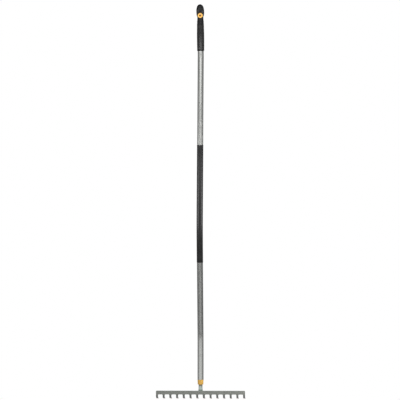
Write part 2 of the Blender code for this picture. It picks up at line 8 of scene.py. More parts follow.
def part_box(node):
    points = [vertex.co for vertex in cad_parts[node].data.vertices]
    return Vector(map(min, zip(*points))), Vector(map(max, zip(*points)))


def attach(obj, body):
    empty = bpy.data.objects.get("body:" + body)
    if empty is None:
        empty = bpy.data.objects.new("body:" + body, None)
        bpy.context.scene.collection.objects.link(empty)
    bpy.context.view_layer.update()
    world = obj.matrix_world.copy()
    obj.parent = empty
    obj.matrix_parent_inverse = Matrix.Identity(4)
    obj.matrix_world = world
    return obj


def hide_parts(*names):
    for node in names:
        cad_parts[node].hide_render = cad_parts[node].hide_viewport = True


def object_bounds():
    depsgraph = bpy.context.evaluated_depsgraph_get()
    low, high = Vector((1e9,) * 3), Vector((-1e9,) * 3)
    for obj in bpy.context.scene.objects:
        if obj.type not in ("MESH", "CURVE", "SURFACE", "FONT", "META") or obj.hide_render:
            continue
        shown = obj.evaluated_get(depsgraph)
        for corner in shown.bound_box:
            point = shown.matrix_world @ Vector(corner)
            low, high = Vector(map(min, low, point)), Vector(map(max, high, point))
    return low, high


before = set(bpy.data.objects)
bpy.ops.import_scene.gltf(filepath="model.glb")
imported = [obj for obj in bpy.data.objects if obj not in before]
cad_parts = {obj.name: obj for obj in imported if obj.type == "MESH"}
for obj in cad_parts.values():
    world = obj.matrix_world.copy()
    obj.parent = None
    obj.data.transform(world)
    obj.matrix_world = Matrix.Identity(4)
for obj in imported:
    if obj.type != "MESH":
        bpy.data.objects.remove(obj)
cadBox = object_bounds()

print("frame loaded:", len(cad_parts), "CAD nodes")

# small tools for meshes
xAxis, yAxis, zAxis = Vector((1, 0, 0)), Vector((0, 1, 0)), Vector((0, 0, 1))
sharpAngle = 32         # degrees between faces beyond which an edge stays sharp
roundPower = 2          # squareness of a plain circle or ellipse; more gives flatter sides


def mix(first, last, share):
    return first + (last - first) * share


def eased(share):
    share = min(max(share, 0.0), 1.0)
    return share * share * (3 - 2 * share)


def smoothed(mesh, angle):
    mesh.shade_smooth()
    mesh.set_sharp_from_angle(angle=math.radians(angle))


def meshPiece(name, bm, angle=sharpAngle):
    # a bmesh becomes an object with outward faces and smooth shading
    bmesh.ops.recalc_face_normals(bm, faces=bm.faces)
    mesh = bpy.data.meshes.new(name)
    bm.to_mesh(mesh)
    bm.free()
    smoothed(mesh, angle)
    piece = bpy.data.objects.new(name, mesh)
    bpy.context.scene.collection.objects.link(piece)
    return piece


def bakeModifiers(piece, angle=sharpAngle):
    # swaps the mesh for its evaluated one, so that later steps can read its faces
    bpy.context.view_layer.update()
    graph = bpy.context.evaluated_depsgraph_get()
    mesh = bpy.data.meshes.new_from_object(piece.evaluated_get(graph))
    piece.modifiers.clear()
    piece.data = mesh
    smoothed(mesh, angle)


def boolean(piece, other, operation):
    step = piece.modifiers.new(other.name, "BOOLEAN")
    step.operation = operation
    step.solver = "EXACT"
    step.object = other


def place(piece, nodeName, material):
    # rides on the body, stands for its CAD node and takes its material
    piece.data.materials.append(material)
    shading = piece.modifiers.new("shading by face size", "WEIGHTED_NORMAL")
    shading.keep_sharp = True       # long flat faces stay evenly lit beside small rounded edges
    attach(piece, "root")
    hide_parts(nodeName)


def ovalRing(centre, across, deep, halfWidth, halfDepth, power, sides):
    ring = []
    for index in range(sides):
        turn = 2 * math.pi * (index + 0.5) / sides
        u = math.copysign(abs(math.cos(turn)) ** (2 / power), math.cos(turn))
        v = math.copysign(abs(math.sin(turn)) ** (2 / power), math.sin(turn))
        ring.append(centre + across * (u * halfWidth) + deep * (v * halfDepth))
    return ring


def loft(rings, hollow=False):
    bm = bmesh.new()
    rows = [[bm.verts.new(point) for point in ring] for ring in rings]
    pairs = list(zip(rows, rows[1:])) + ([(rows[-1], rows[0])] if hollow else [])
    for lower, upper in pairs:
        for index in range(len(lower)):
            after = (index + 1) % len(lower)
            bm.faces.new((lower[index], lower[after], upper[after], upper[index]))
    if not hollow:
        bm.faces.new(rows[0])
        bm.faces.new(rows[-1])
    return bm


def arc(radius, height, size, first, last, steps=6):
    # (radius, height) pairs round a corner; 0 degrees points outwards and 90 up
    turns = [math.radians(mix(first, last, step / steps)) for step in range(steps + 1)]
    return [(radius + size * math.cos(turn), height + size * math.sin(turn)) for turn in turns]


def roundLevels(profile):
    # (radius, height) pairs as levels: height, half width, half depth, squareness
    return [(height, width, width, roundPower) for width, height in profile]


def revolve(profile, matrix, sides, hollow=False):
    rings = []
    for radius, height in profile:
        ring = ovalRing(zAxis * height, xAxis, yAxis, radius, radius, roundPower, sides)
        rings.append([matrix @ point for point in ring])
    return loft(rings, hollow)


# the shaft's path: straight runs with bends between them, from the tube's lower end
shaft = {
    # straight run, degrees of the bend after it (forwards is positive), bend radius
    "bends": [(0.1555, 9, 0.300), (0.377, -16, 0.450), (0.649, 18, 0.110), (0.1405, 24, 0.062)],
    "topRun": 0.1145,       # last straight stretch of the tube, under the top grip
    "tubeRadius": 0.0125,
    "tubeWall": 0.0014,
    "gap": 0.0003,          # between pieces that seat on each other
    "sides": 72,
    "ringTurn": 0.6,        # degrees of bend for each ring
}
tubeBends = shaft["bends"][:3]      # the last bend is the end knob's


def bendLength(degrees, radius):
    return abs(math.radians(degrees)) * radius


collarLow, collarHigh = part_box("ferrule_collar")
lowerEnd = Vector((0, (collarLow.y + collarHigh.y) / 2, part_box("shaft_tube")[0].z))
tubeLength = sum(run for run, _, _ in tubeBends) + shaft["topRun"]
tubeLength += sum(bendLength(degrees, radius) for _, degrees, radius in tubeBends)


def upAt(lean):
    return Vector((0, -math.sin(lean), math.cos(lean)))


def backAt(lean):
    return Vector((0, math.cos(lean), math.sin(lean)))


def bendPoint(point, lean, bend, radius, share):
    side = math.copysign(radius, bend)
    after = lean + bend * share
    turned = Vector((0, math.cos(after) - math.cos(lean), math.sin(after) - math.sin(lean)))
    return point + turned * side, after


def pathAt(distance):
    # the middle line's point and lean at a distance along it
    point, lean, left = lowerEnd.copy(), 0.0, distance
    for run, degrees, radius in shaft["bends"]:
        bend, length = math.radians(degrees), bendLength(degrees, radius)
        if left <= run:
            return point + upAt(lean) * left, lean
        point = point + upAt(lean) * run
        left -= run
        if left <= length:
            return bendPoint(point, lean, bend, radius, left / length)
        point, lean = bendPoint(point, lean, bend, radius, 1.0)
        left -= length
    return point + upAt(lean) * left, lean


def bendStops(start, end):
    stops, reached = [], 0.0
    for run, degrees, radius in shaft["bends"]:
        reached += run
        length = bendLength(degrees, radius)
        steps = max(2, math.ceil(abs(degrees) / shaft["ringTurn"]))
        stops += [reached + length * step / steps for step in range(steps + 1)]
        reached += length
    return [stop for stop in stops if start < stop < end]


def shaftRing(distance, halfWidth, halfDepth, power, sides):
    point, lean = pathAt(distance)
    return ovalRing(point, xAxis, backAt(lean), halfWidth, halfDepth, power, sides)


def onShaft(piece, stationOf):
    # keeps each point's place in the straightened shaft: across, deep, along
    kept = piece.data.attributes.new("shaftPlace", "FLOAT_VECTOR", "POINT")
    values = []
    for index, vertex in enumerate(piece.data.vertices):
        distance = stationOf(index)
        point, lean = pathAt(distance)
        offset = vertex.co - point
        values += [offset.x, offset.dot(backAt(lean)), distance + offset.dot(upAt(lean))]
    kept.data.foreach_set("vector", values)


def sleeve(name, outside, bore, sides=shaft["sides"]):
    # a hollow round piece along the shaft; outside is a list of (distance, radius)
    start, end = outside[0][0], outside[-1][0]
    stops = bendStops(start, end)
    outer = list(outside)
    for stop in stops:
        below = max((pair for pair in outside if pair[0] <= stop), key=lambda pair: pair[0])
        above = min((pair for pair in outside if pair[0] > stop), key=lambda pair: pair[0])
        share = (stop - below[0]) / (above[0] - below[0])
        outer.append((stop, mix(below[1], above[1], share)))
    outer.sort(key=lambda pair: pair[0])
    inner = [(end, bore)] + [(stop, bore) for stop in reversed(stops)] + [(start, bore)]
    pairs = outer + inner
    rings = [shaftRing(distance, radius, radius, roundPower, sides) for distance, radius in pairs]
    piece = meshPiece(name, loft(rings, hollow=True))
    onShaft(piece, lambda index: pairs[index // sides][0])
    return piece


# shader helpers; all but srgb add one node, and all but node and bump return its output
def srgb(red, green, blue):
    def linear(value):
        share = value / 255
        return share / 12.92 if share <= 0.04045 else ((share + 0.055) / 1.055) ** 2.4
    return (linear(red), linear(green), linear(blue), 1.0)


def node(tree, kind, at, values=None, **settings):
    made = tree.nodes.new(kind)
    made.location = at
    for name, value in settings.items():
        setattr(made, name, value)
    for socket, value in (values or {}).items():
        target = made.inputs[socket]
        if isinstance(value, bpy.types.NodeSocket):
            tree.links.new(value, target)
        else:
            target.default_value = value
    return made


def calculate(tree, at, operation, *terms):
    made = node(tree, "ShaderNodeMath", at, dict(enumerate(terms)), operation=operation)
    return made.outputs[0]


def remap(tree, at, value, fromRange=(0.0, 1.0), toRange=(0.0, 1.0), **settings):
    made = node(tree, "ShaderNodeMapRange", at, {
        "Value": value, "From Min": fromRange[0], "From Max": fromRange[1],
        "To Min": toRange[0], "To Max": toRange[1]}, **settings)
    return made.outputs[0]


def blend(tree, at, factor, first, second):
    made = node(tree, "ShaderNodeMix", at, {"Factor": factor, "A": first, "B": second})
    return made.outputs[0]


def twoColours(tree, at, factor, first, second):
    made = node(tree, "ShaderNodeMix", at, {
        "Factor": factor, "A": first, "B": second}, data_type="RGBA")
    return made.outputs[2]


def noise(tree, at, vector, scale, detail, roughness=0.5, distortion=0.0):
    made = node(tree, "ShaderNodeTexNoise", at, {
        "Vector": vector, "Scale": scale, "Detail": detail, "Roughness": roughness,
        "Distortion": distortion})
    return made.outputs["Fac"]


def axisOf(tree, at, vector, name):
    return node(tree, "ShaderNodeSeparateXYZ", at, {0: vector}).outputs[name]


def stored(tree, at, name, output):
    return node(tree, "ShaderNodeAttribute", at, attribute_name=name).outputs[output]


def shaftCoords(tree):
    return stored(tree, (-1300, 0), "shaftPlace", "Vector")


def objectCoords(tree):
    return node(tree, "ShaderNodeTexCoord", (-1300, 0)).outputs["Object"]


def bump(tree, shader, at, height, distance, under=None):
    made = node(tree, "ShaderNodeBump", at, {"Height": height, "Distance": distance})
    if under is not None:
        tree.links.new(under.outputs[0], made.inputs["Normal"])
    tree.links.new(made.outputs[0], shader.inputs["Normal"])
    return made


# effects that several finishes share
def newGroup(name, inputs, outputs):
    # takes a place on the piece and plain numbers, and puts out masks or heights
    group = bpy.data.node_groups.new(name, "ShaderNodeTree")
    sockets = group.interface
    sockets.new_socket(name="Vector", in_out="INPUT", socket_type="NodeSocketVector")
    for label, value in inputs.items():
        socket = sockets.new_socket(name=label, in_out="INPUT", socket_type="NodeSocketFloat")
        socket.default_value = value
    for label in outputs:
        sockets.new_socket(name=label, in_out="OUTPUT", socket_type="NodeSocketFloat")
    entry = node(group, "NodeGroupInput", (-900, 0))
    leave = node(group, "NodeGroupOutput", (700, 0))
    return group, entry.outputs, leave.inputs


def makeStreakGroup():
    # long fine drawing lines with a slower variation under them
    group, entry, leave = newGroup(
        "drawnStreaks", {"Across": 900.0, "Along": 6.0, "Coarse Share": 0.35},
        ["Streaks", "Height"])
    scale = node(group, "ShaderNodeCombineXYZ", (-700, -150), {
        "X": entry["Across"], "Y": entry["Across"], "Z": entry["Along"]})
    stretched = node(group, "ShaderNodeVectorMath", (-500, 0), {
        0: entry["Vector"], 1: scale.outputs[0]}, operation="MULTIPLY").outputs[0]
    fine = noise(group, (-300, 120), stretched, scale=1.0, detail=3.0, roughness=0.6)
    coarse = noise(group, (-300, -160), stretched, scale=0.13, detail=2.0)
    both = blend(group, (-60, 0), entry["Coarse Share"], fine, coarse)
    spread = remap(group, (160, 0), both, fromRange=(0.3, 0.7))
    group.links.new(spread, leave["Streaks"])
    group.links.new(fine, leave["Height"])
    return group


def makeSmudgeGroup():
    # soft cloudy marks from handling, as a mask
    group, entry, leave = newGroup(
        "handlingMarks", {"Scale": 30.0, "Threshold": 0.5, "Softness": 0.15}, ["Mask"])
    cloud = noise(
        group, (-500, 100), entry["Vector"], entry["Scale"], detail=4.0, roughness=0.55,
        distortion=0.4)
    low = calculate(group, (-500, -150), "SUBTRACT", entry["Threshold"], entry["Softness"])
    high = calculate(group, (-500, -320), "ADD", entry["Threshold"], entry["Softness"])
    mask = remap(group, (-200, 0), cloud, (low, high), interpolation_type="SMOOTHSTEP")
    group.links.new(mask, leave["Mask"])
    return group


def makeSkinGroup():
    # the fine spark-eroded skin of moulded plastic: small cells broken up by noise
    group, entry, leave = newGroup(
        "mouldedSkin", {"Cell Scale": 1500.0, "Wave Scale": 60.0, "Wave Share": 0.3}, ["Height"])
    cells = node(group, "ShaderNodeTexVoronoi", (-500, 120), {
        "Vector": entry["Vector"], "Scale": entry["Cell Scale"]}, feature="SMOOTH_F1")
    waves = noise(group, (-500, -180), entry["Vector"], entry["Wave Scale"], detail=2.0)
    height = blend(group, (-200, 0), entry["Wave Share"], cells.outputs["Distance"], waves)
    group.links.new(height, leave["Height"])
    return group


def makeWearGroup():
    # breaks a plain edge mask into chips and rubbed stretches
    fading = 0.25       # noise between bare and whole lacquer
    group, entry, leave = newGroup(
        "edgeWear", {"Edge": 0.0, "Scale": 180.0, "Amount": 0.5}, ["Mask"])
    cloud = noise(group, (-600, -120), entry["Vector"], entry["Scale"], detail=5.0, roughness=0.65)
    level = calculate(group, (-400, -300), "SUBTRACT", 1.0, entry["Amount"])
    reach = calculate(group, (-200, -260), "ADD", level, fading)
    chips = remap(group, (0, -120), cloud, (level, reach))
    mask = calculate(group, (250, 0), "MULTIPLY", entry["Edge"], chips)
    group.links.new(mask, leave["Mask"])
    return group


streakGroup = makeStreakGroup()
smudgeGroup = makeSmudgeGroup()
skinGroup = makeSkinGroup()
wearGroup = makeWearGroup()


def useGroup(tree, group, at, coords, values):
    made = node(tree, "ShaderNodeGroup", at, {"Vector": coords, **values}, node_tree=group)
    return made.outputs


def newMaterial(name, **values):
    material = bpy.data.materials.new(name)
    material.use_nodes = True
    tree = material.node_tree
    shader = tree.nodes["Principled BSDF"]
    for label, value in values.items():
        shader.inputs[label].default_value = value
    return material, tree, shader


def finish(tree, shader, colour, roughness):
    tree.links.new(colour, shader.inputs["Base Color"])
    tree.links.new(roughness, shader.inputs["Roughness"])


# the finishes; roughness is the least and the most, and depths are in metres
satinTube = {
    "pale": srgb(197, 198, 195),
    "dark": srgb(176, 178, 175),
    "roughness": (0.22, 0.32),
    "handled": 0.05,        # added to the roughness where hands have been
    "grain": {"Across": 1500.0, "Along": 5.0},
    "grainDepth": 0.000012,
    "marks": {"Scale": 22.0, "Threshold": 0.58, "Softness": 0.12},
}


def makeTubeMaterial():
    values = satinTube
    material, tree, shader = newMaterial("satinAluminium", Metallic=1.0)
    coords = shaftCoords(tree)
    grain = useGroup(tree, streakGroup, (-1000, 200), coords, values["grain"])
    marks = useGroup(tree, smudgeGroup, (-1000, -200), coords, values["marks"])
    colour = twoColours(tree, (-600, 250), grain["Streaks"], values["dark"], values["pale"])
    fine = remap(tree, (-600, 0), grain["Streaks"], toRange=values["roughness"])
    handled = calculate(tree, (-350, -100), "MULTIPLY_ADD", marks["Mask"], values["handled"], fine)
    finish(tree, shader, colour, handled)
    bump(tree, shader, (-300, -400), grain["Height"], values["grainDepth"])
    return material


headLacquer = {
    "lacquer": srgb(112, 114, 109),
    "shade": srgb(101, 103, 99),
    # painted shade: a darker lacquer on the tines, standing for the shade on their downward-bent
    # faces
    "tines": srgb(84, 85, 83),
    "tinesPaintedShadeRange": (-1.5900, -1.5960),   # heights between which painted shade darkens the lacquer on the tines
    "bareSteel": srgb(182, 182, 177),
    "roughness": (0.38, 0.50),
    "metallic": (0.25, 0.95),           # lacquered and rubbed bare
    "marks": {"Scale": 45.0, "Threshold": 0.5, "Softness": 0.3},
    "wear": {"Scale": 220.0, "Amount": 0.5},
    "tipsRange": (0.052, 0.071),        # depths between which the tines rub bare
    "chipDepth": 0.00004,
    "peel": {"Cell Scale": 900.0, "Wave Scale": 260.0, "Wave Share": 0.6},
    "peelDepth": 0.00003,
}


def makeHeadMaterial():
    values = headLacquer
    material, tree, shader = newMaterial("lacqueredSteel")
    coords = objectCoords(tree)
    marks = useGroup(tree, smudgeGroup, (-1000, 350), coords, values["marks"])["Mask"]
    face = twoColours(tree, (-800, 400), marks, values["shade"], values["lacquer"])
    # painted shade: the lacquer darkens from the bar's lower edge down over the tines
    height = axisOf(tree, (-1100, 0), coords, "Z")
    lower = remap(tree, (-900, 100), height, values["tinesPaintedShadeRange"])
    lacquer = twoColours(tree, (-600, 400), lower, face, values["tines"])
    edge = stored(tree, (-1300, -300), "edgeFace", "Fac")
    depth = axisOf(tree, (-1100, -500), coords, "Y")
    tips = remap(tree, (-900, -500), depth, values["tipsRange"])
    rubbed = calculate(tree, (-700, -400), "MAXIMUM", edge, tips)
    wear = useGroup(
        tree, wearGroup, (-500, -350), coords, {"Edge": rubbed, **values["wear"]})["Mask"]
    colour = twoColours(tree, (-250, 300), wear, lacquer, values["bareSteel"])
    metal = remap(tree, (-250, 50), wear, toRange=values["metallic"])
    rough = remap(tree, (-250, -150), marks, toRange=values["roughness"])
    finish(tree, shader, colour, rough)
    tree.links.new(metal, shader.inputs["Metallic"])
    peel = useGroup(tree, skinGroup, (-700, -800), coords, values["peel"])["Height"]
    under = bump(tree, shader, (-250, -600), peel, values["peelDepth"])
    bump(tree, shader, (-50, -500), wear, -values["chipDepth"], under)
    return material


zincPlate = {
    "pale": srgb(204, 218, 210),
    "dark": srgb(178, 194, 186),
    "roughness": (0.42, 0.54),
    # the heat tint's colour, also used for the painted shadow under the collar
    "heatTintAndPaintedShadow": srgb(128, 112, 92),
    "heated": 0.12,         # how much of the tint the cold pieces show
    "weldHeated": 0.55,
    "paintedShadowRange": (-1.5596, -1.5510),   # heights over which painted shadow from the collar fades out down the tang
    "grain": {"Across": 420.0, "Along": 90.0, "Coarse Share": 0.6},
    "grainDepth": 0.00002,
    "marks": {"Scale": 110.0, "Threshold": 0.52, "Softness": 0.2},
}


def makeZincMaterial(name, heated, paintedShadow=0.0):
    values = zincPlate
    material, tree, shader = newMaterial(name, Metallic=1.0)
    coords = objectCoords(tree)
    grain = useGroup(tree, streakGroup, (-1000, 250), coords, values["grain"])
    marks = useGroup(tree, smudgeGroup, (-1000, -100), coords, values["marks"])["Mask"]
    plate = twoColours(tree, (-600, 300), grain["Streaks"], values["dark"], values["pale"])
    # painted shadow: the tang darkens towards the tint colour just under the collar; heat tint
    # comes from the marks
    height = axisOf(tree, (-1000, -400), coords, "Z")
    under = remap(tree, (-800, -400), height, values["paintedShadowRange"], (0.0, paintedShadow))
    tint = calculate(tree, (-800, 50), "MULTIPLY", marks, heated)
    tintAndPaintedShadow = calculate(tree, (-600, 50), "MAXIMUM", tint, under)
    colour = twoColours(tree, (-350, 250), tintAndPaintedShadow, plate, values["heatTintAndPaintedShadow"])
    rough = remap(tree, (-350, -50), marks, toRange=values["roughness"])
    finish(tree, shader, colour, rough)
    bump(tree, shader, (-300, -350), grain["Height"], values["grainDepth"])
    return material


flowMarks = {"Threshold": 0.52, "Softness": 0.25}
orangePlastic = {
    "base": srgb(181, 142, 63), "flow": srgb(175, 134, 56), "ior": 1.5,
    "roughness": (0.36, 0.44), "skinDepth": 0.00001,
    "marks": {"Scale": 90.0, **flowMarks},
    "skin": {"Cell Scale": 2600.0, "Wave Scale": 120.0, "Wave Share": 0.4},
}
# painted light: the eyelet is the collar's orange plastic, coloured paler to stand for the light
# its face catches
eyeletPaintedLightPlastic = {**orangePlastic, "base": srgb(236, 186, 96), "flow": srgb(231, 179, 88)}
glossBlack = {
    "base": srgb(15, 15, 16), "flow": srgb(20, 20, 22), "ior": 1.38,
    "roughness": (0.30, 0.40), "skinDepth": 0.000012,
    "partingWidth": 0.00035, "partingHeight": 0.00005,
    "marks": {"Scale": 60.0, **flowMarks},
    "skin": {"Cell Scale": 1800.0, "Wave Scale": 70.0, "Wave Share": 0.75},
}
softGrip = {
    "base": srgb(18, 18, 18), "flow": srgb(24, 24, 24), "ior": 1.6,
    "roughness": (0.20, 0.28), "skinDepth": 0.00004,
    "partingWidth": 0.0004, "partingHeight": 0.00008,
    "marks": {"Scale": 70.0, **flowMarks},
    "skin": {"Cell Scale": 1250.0, "Wave Scale": 160.0, "Wave Share": 0.12},
}
sleeveFilm = {
    "base": srgb(22, 22, 22), "flow": srgb(28, 28, 28), "ior": 1.40,
    "roughness": (0.24, 0.34), "skinDepth": 0.00003,
    "marks": {"Scale": 26.0, **flowMarks},
    "skin": {"Cell Scale": 1900.0, "Wave Scale": 42.0, "Wave Share": 0.8},
}
innerPlastic = {
    "base": srgb(60, 60, 62), "flow": srgb(70, 70, 71), "ior": 1.5,
    "roughness": (0.5, 0.6), "skinDepth": 0.00002,
    "marks": {"Scale": 80.0, **flowMarks},
    "skin": {"Cell Scale": 1500.0, "Wave Scale": 100.0, "Wave Share": 0.3},
}


def makePlasticMaterial(name, values, coordsOf):
    # moulded plastic: base colour with slight flow marks, a fine skin and a parting line
    material, tree, shader = newMaterial(name, IOR=values["ior"])
    coords = coordsOf(tree)
    marks = useGroup(tree, smudgeGroup, (-1000, 250), coords, values["marks"])["Mask"]
    colour = twoColours(tree, (-600, 300), marks, values["base"], values["flow"])
    rough = remap(tree, (-600, 0), marks, toRange=values["roughness"])
    finish(tree, shader, colour, rough)
    skin = useGroup(tree, skinGroup, (-1000, -250), coords, values["skin"])["Height"]
    under = bump(tree, shader, (-500, -300), skin, values["skinDepth"])
    if "partingWidth" in values:
        # the mould's parting line runs up both sides, where the depth is zero
        away = calculate(tree, (-800, -550), "ABSOLUTE", axisOf(tree, (-1000, -550), coords, "Y"))
        line = remap(
            tree, (-600, -550), away, (0.0, values["partingWidth"]), (1.0, 0.0),
            interpolation_type="SMOOTHSTEP")
        bump(tree, shader, (-300, -450), line, values["partingHeight"], under)
    return material


tubeMaterial = makeTubeMaterial()
headMaterial = makeHeadMaterial()
zincMaterial = makeZincMaterial("zincPlate", zincPlate["heated"])
tangMaterial = makeZincMaterial("zincedTang", zincPlate["heated"], paintedShadow=1.0)
weldMaterial = makeZincMaterial("zincedWeld", zincPlate["weldHeated"])
orangeMaterial = makePlasticMaterial("orangePlastic", orangePlastic, objectCoords)
eyeletPaintedLightMaterial = makePlasticMaterial("orangeEyeletPaintedLight", eyeletPaintedLightPlastic, objectCoords)
knobMaterial = makePlasticMaterial("glossBlackPlastic", glossBlack, shaftCoords)
gripMaterial = makePlasticMaterial("softBlackGrip", softGrip, shaftCoords)
sleeveMaterial = makePlasticMaterial("shrunkBlackSleeve", sleeveFilm, shaftCoords)
innerMaterial = makePlasticMaterial("innerPlastic", innerPlastic, objectCoords)
print("finishes made:", len(bpy.data.materials))


# tube and grips
def makeTube():
    radius = shaft["tubeRadius"]
    tube = sleeve("shaftTube", [(0.0, radius), (tubeLength, radius)], radius - shaft["tubeWall"])
    place(tube, "shaft_tube", tubeMaterial)


middleGrip = {
    "start": 0.4965,
    "length": 0.4925,
    "fit": 0.0002,          # space to the tube
    "wall": 0.0005,
    "lip": 0.0025,
    "lipRise": 0.0003,
}


def makeMiddleGrip():
    values = middleGrip
    bore = shaft["tubeRadius"] + values["fit"]
    radius, rise, lip = bore + values["wall"], values["lipRise"], values["lip"]
    start, end = values["start"], values["start"] + values["length"]
    rolled = [(radius - rise, 0.0)] + arc(radius, rise, rise, -45, 0, steps=2)
    rolled += [(radius + rise, lip), (radius, lip + 2 * rise)]
    lower = [(start + height, width) for width, height in rolled]
    upper = [(end - height, width) for width, height in reversed(rolled)]
    grip = sleeve("middleGrip", lower + upper, bore)
    place(grip, "middle_grip", sleeveMaterial)


topGrip = {
    "lowRadius": 0.0149,
    "middleRadius": 0.0153,
    "topRadius": 0.0145,
    "swell": 0.055,         # height of the fullest place
    "lip": 0.009,           # height of the groove above it
    "groove": 0.0004,       # a quarter of the groove's width
    "grooveRound": 1.2,     # radius of its bottom, as a multiple of that
    "edge": 0.0012,
    "rings": 30,
    "sides": 96,
}


def topGripRadius(height):
    values = topGrip
    if height < values["swell"]:
        return mix(values["lowRadius"], values["middleRadius"], eased(height / values["swell"]))
    share = (height - values["swell"]) / (shaft["topRun"] - values["swell"])
    return mix(values["middleRadius"], values["topRadius"], eased(share))


def makeTopGrip():
    values, length = topGrip, shaft["topRun"]
    low, edge, groove = values["lowRadius"], values["edge"], values["groove"]
    lip, bodyStart = values["lip"], values["lip"] + 2 * groove
    profile = arc(low - edge, edge, edge, -90, 0) + [(low, lip - 2 * groove)]
    profile += arc(low, lip, groove * values["grooveRound"], 270, 90)[1:-1] + [(low, bodyStart)]
    for index in range(1, values["rings"] + 1):
        height = mix(bodyStart, length - edge, index / (values["rings"] + 1))
        profile.append((topGripRadius(height), height))
    profile += arc(values["topRadius"] - edge / 2, length - edge / 2, edge / 2, 0, 90)
    outside = [(tubeLength - length + height, radius) for radius, height in profile]
    grip = sleeve("topGrip", outside, shaft["tubeRadius"] + shaft["gap"], values["sides"])
    place(grip, "top_grip", gripMaterial)


# collar, tang, rivet and welds stand upright on the tube's lower end
def uprightAt(height):
    return Matrix.Translation(lowerEnd + zAxis * height)


collar = {
    "length": 0.0197,
    "taper": 0.0009,
    "edge": 0.0010,
    "seam": 0.0003,
    "spigot": 0.034,
    "chamfer": 0.0006,
    "sides": 96,
}


def makeCollar():
    values, gap, radius = collar, shaft["gap"], shaft["tubeRadius"]
    edge, seam, chamfer, top = values["edge"], values["seam"], values["chamfer"], values["spigot"]
    low = -gap - values["length"]
    bore = tang["radius"] + gap
    spigot = radius - shaft["tubeWall"] - gap
    profile = arc(radius - values["taper"] - edge, low + edge, edge, -90, 0)
    profile += arc(radius - seam, -gap - seam, seam, 0, 90, steps=4)
    profile += [
        (spigot, -gap), (spigot, top - chamfer), (spigot - chamfer, top), (bore, top),
        (bore, low + chamfer), (bore + chamfer, low)]
    turned = revolve(profile, uprightAt(0), values["sides"], hollow=True)
    place(meshPiece("ferruleCollar", turned), "ferrule_collar", orangeMaterial)


tang = {
    "radius": 0.0080,
    "top": 0.098,
    "chamfer": 0.0012,
    "neck": 0.0263,         # collar to bar
    "forged": 0.0115,       # how far above the bar the flattening starts
    "plain": 0.004,         # round stretch just above the flattening
    "palmWidth": 0.022,
    "palmThickness": 0.006,
    "palmDepth": 0.0140,
    "shoulder": 0.0050,
    "edge": 0.0006,
    "squareness": 6.0,
    "spread": 1.8,
    "rings": 30,
    "sides": 64,
}
barTop = -shaft["gap"] - collar["length"] - tang["neck"]    # from the tube's lower end


def makeTang():
    values = tang
    radius, chamfer, edge, square = (
        values["radius"], values["chamfer"], values["edge"], values["squareness"])
    halfWidth, halfThickness = values["palmWidth"] / 2, values["palmThickness"] / 2
    forgedStart = barTop + values["forged"]
    flatHeight = barTop + shaft["gap"]
    wideHeight = barTop - values["shoulder"]
    foot = barTop - values["palmDepth"]
    top = arc(radius - chamfer, values["top"] - chamfer, chamfer, 0, 90)
    levels = roundLevels(top[::-1] + [(radius, forgedStart + values["plain"])])
    for step in range(values["rings"] + 1):
        height = mix(forgedStart, wideHeight, step / values["rings"])
        flat = eased((forgedStart - height) / (forgedStart - flatHeight))
        wide = (forgedStart - height) / (forgedStart - wideHeight)
        levels.append((
            height, mix(radius, halfWidth, wide ** values["spread"]),
            mix(radius, halfThickness, flat), mix(roundPower, square, flat)))
    for inset, height in arc(0, foot + edge, edge, 0, -90, steps=4):
        levels.append((height, halfWidth - edge + inset, halfThickness - edge + inset, square))
    rings = [
        ovalRing(lowerEnd + zAxis * height, xAxis, yAxis, width, depth, power, values["sides"])
        for height, width, depth, power in reversed(levels)]
    place(meshPiece("headTang", loft(rings)), "head_tang", tangMaterial)


rivet = {
    "height": 0.018, "radius": 0.0024, "end": 0.0020, "headRadius": 0.0046, "headRise": 0.0018,
    "domeFrom": 8, "domeTo": 86, "domeRings": 12, "sides": 48,
}


def makeRivet():
    values, head = rivet, rivet["headRadius"]
    seat = shaft["tubeRadius"] + shaft["gap"]
    profile = [(values["radius"], -values["end"]), (values["radius"], seat), (head, seat)]
    for width, height in arc(0, 0, 1, values["domeFrom"], values["domeTo"], values["domeRings"]):
        profile.append((head * width, seat + values["headRise"] * height))
    towardsBack = uprightAt(values["height"]) @ Matrix.Rotation(math.radians(-90), 4, "X")
    piece = meshPiece("tangRivet", revolve(profile, towardsBack, values["sides"]))
    place(piece, "tang_rivet", zincMaterial)


weld = {
    "leg": 0.0038,
    "bite": 0.0010,         # how far the bead runs in under the palm's edge
    "inset": 0.0008,
    "ripple": 0.028,
    "ripples": 9,
    "ending": 0.22,         # share of its length over which each end closes
    "end": 0.08,
    "bulge": 1.5,
    "lead": 0.0014,         # how far each ripple's middle leads
    "faces": 10,
    "stepsPerRipple": 6,
    "sharpAngle": 60,
}


def makeWeld(name, nodeName, side):
    values, bite = weld, weld["bite"]
    cornerX = tang["palmWidth"] / 2 - bite
    cornerY = -tang["palmThickness"] / 2 - shaft["gap"]
    low = barTop - tang["palmDepth"] + values["inset"]
    high = barTop - values["inset"]
    steps = values["ripples"] * values["stepsPerRipple"]
    rings = []
    for index in range(steps + 1):
        share = index / steps
        height = mix(low, high, share)
        wave = values["ripples"] * share % 1.0
        leg = values["leg"] * (1 - values["ripple"] * (2 * wave - 1) ** 2)
        closing = min(1.0, min(share, 1 - share) / values["ending"])
        closed = mix(values["end"], 1.0, math.sqrt(1 - (1 - closing) ** 2))
        ring = [lowerEnd + Vector((side * cornerX, cornerY, height))]
        for step in range(values["faces"] + 1):
            turn = math.pi / 2 * step / values["faces"]
            u = math.cos(turn) ** (2 / values["bulge"])
            v = math.sin(turn) ** (2 / values["bulge"])
            lead = values["lead"] * math.sin(turn * 2) * (1 - share) * closed
            ring.append(lowerEnd + Vector((
                side * (cornerX + u * (bite + leg) * closed), cornerY + v * leg * closed,
                height + lead)))
        rings.append(ring)
    piece = meshPiece(name, loft(rings), values["sharpAngle"])
    place(piece, nodeName, weldMaterial)


